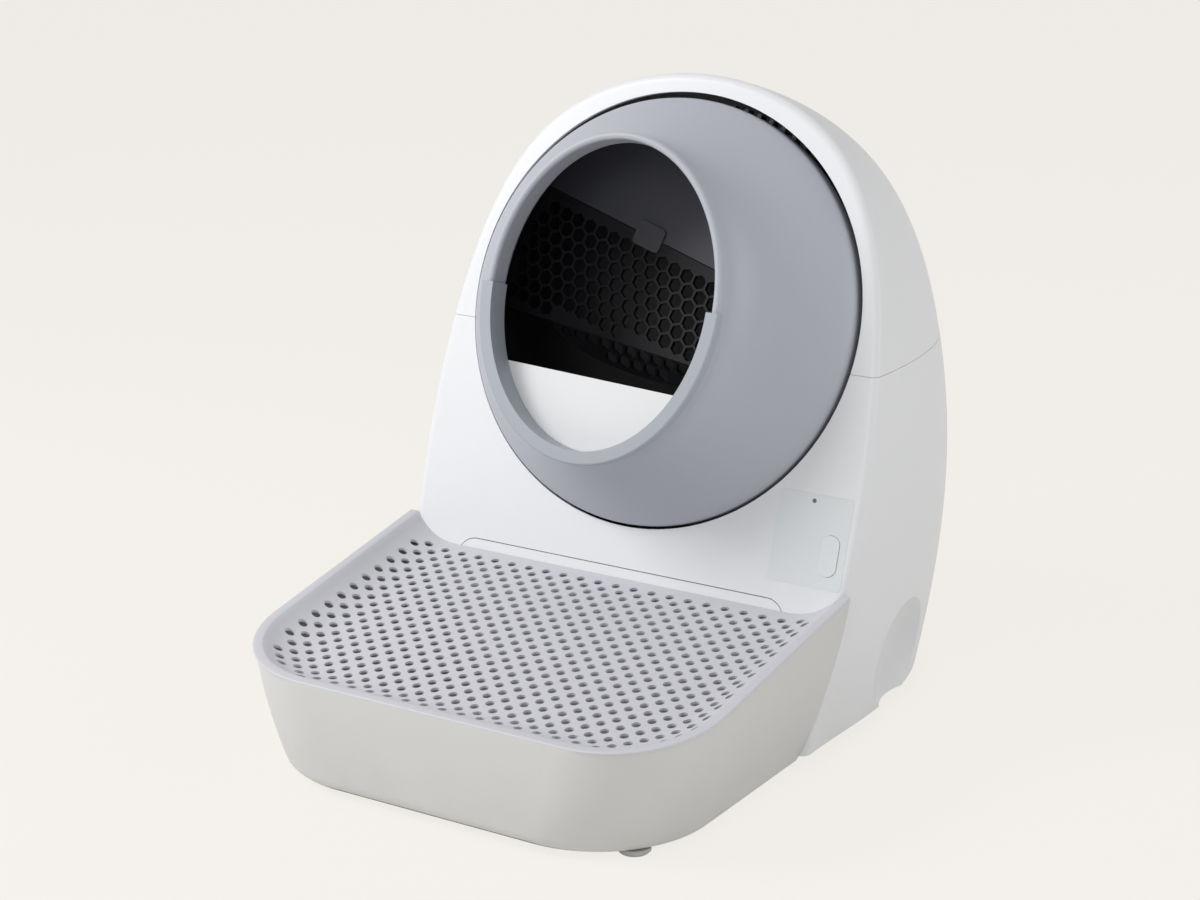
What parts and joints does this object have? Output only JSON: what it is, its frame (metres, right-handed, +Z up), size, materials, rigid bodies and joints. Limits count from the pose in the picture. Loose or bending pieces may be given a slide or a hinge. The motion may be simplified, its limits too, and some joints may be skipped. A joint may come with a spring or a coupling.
{
  "type": "self-cleaning litter box",
  "caption": "Free-standing rotating-drum litter box: tilted drum with an oval mouth and inner sieve, waste drawer, lift-off cover, perforated step and push button.",
  "frame": {"origin": "on the floor under the middle of the bounding box", "axes": "+Z up, the front with the step faces -Y, +X to the right as seen from the front"},
  "size_m": [0.5368, 0.6685, 0.6414],
  "materials": {
    "housing_white": "satin, cool white",
    "drawer_white": "satin, warm white",
    "tray_lavender": "matt, lavender white",
    "drum_grey": "fine matt, pale blue-grey",
    "lip_grey": "soft matt, blue-grey",
    "guard_white": "satin, white",
    "sieve_charcoal": "matt, near black",
    "septum_slate": "matt, slate",
    "panel_pale": "gloss, pale blue-grey",
    "button_white": "satin, pale",
    "lens": "gloss, dark",
    "board": "matt, green",
    "inner_plastic": "matt, dark grey",
    "gear_plastic": "matt, dark",
    "bush": "smooth, ivory",
    "steel": "bright",
    "rubber": "matt",
    "step_foot": "matt, pale grey",
    "inlet": "matt, black"
  },
  "bodies": {
    "base": {"base_shell": "housing_white", "base_pan": "inner_plastic", "drum_cradle": "inner_plastic", "hub_bush": "bush", "hub_bracket": "inner_plastic", "gearbox": "steel", "drive_motor": "steel", "motor_bracket": "inner_plastic", "roller_brackets": "inner_plastic", "roller_axles": "steel", "position_sensor": "board", "control_panel": "panel_pale", "indicator_lens": "lens", "control_board": "board", "rubber_feet": "rubber", "pan_screws": "steel", "power_inlet": "inlet"},
    "cover": {"top_cover": "housing_white"},
    "drum": {"drum_front": "drum_grey", "drum_rear": "drum_grey", "drum_hub": "inner_plastic", "ring_gear": "gear_plastic", "septum_panel": "septum_slate", "sieve": "sieve_charcoal", "sieve_clips": "sieve_charcoal", "entry_lip": "lip_grey", "litter_guard": "guard_white", "drum_screws": "steel", "position_magnets": "steel"},
    "pinion": {"drive_pinion": "gear_plastic", "pinion_shaft": "steel"},
    "roller_left": {"support_roller_left": "bush"},
    "roller_right": {"support_roller_right": "bush"},
    "drawer": {"drawer_face": "drawer_white", "step_box": "drawer_white", "waste_bin": "inner_plastic", "step_feet": "step_foot"},
    "tray": {"step_tray": "tray_lavender"},
    "button": {"control_button": "button_white"}
  },
  "joints": [
    {"name": "cover_lift", "type": "slide", "parent": "base", "child": "cover", "axis": [0, 0, 1], "range_m": [0, 0.3]},
    {"name": "drum_spin", "type": "hinge", "parent": "base", "child": "drum", "pos_m": [0, 0.0945, 0.408], "axis": [0, -0.9483, 0.3173], "continuous": true},
    {"name": "pinion_spin", "type": "hinge", "parent": "base", "child": "pinion", "pos_m": [-0.19534, 0.07853, 0.2405], "axis": [0, -0.9483, 0.3173], "continuous": true},
    {"name": "roller_left_spin", "type": "hinge", "parent": "base", "child": "roller_left", "pos_m": [-0.12015, 0.08347, 0.19224], "axis": [0, -0.9483, 0.3173], "continuous": true},
    {"name": "roller_right_spin", "type": "hinge", "parent": "base", "child": "roller_right", "pos_m": [0.12015, 0.08347, 0.19224], "axis": [0, -0.9483, 0.3173], "continuous": true},
    {"name": "drawer_slide", "type": "slide", "parent": "base", "child": "drawer", "axis": [0, -1, 0], "range_m": [0, 0.3]},
    {"name": "tray_lift", "type": "slide", "parent": "drawer", "child": "tray", "axis": [0, -0.5, 0.866], "range_m": [0, 0.14]},
    {"name": "button_press", "type": "slide", "parent": "base", "child": "button", "axis": [0, 0.9483, -0.3173], "range_m": [0, 0.0012], "stiffness_N_per_m": 500}
  ],
  "couplings": [
    {"joint": "pinion_spin", "follows": "drum_spin", "ratio": -6.2857},
    {"joint": "roller_left_spin", "follows": "drum_spin", "ratio": -8.2308},
    {"joint": "roller_right_spin", "follows": "drum_spin", "ratio": -8.2308}
  ]
}
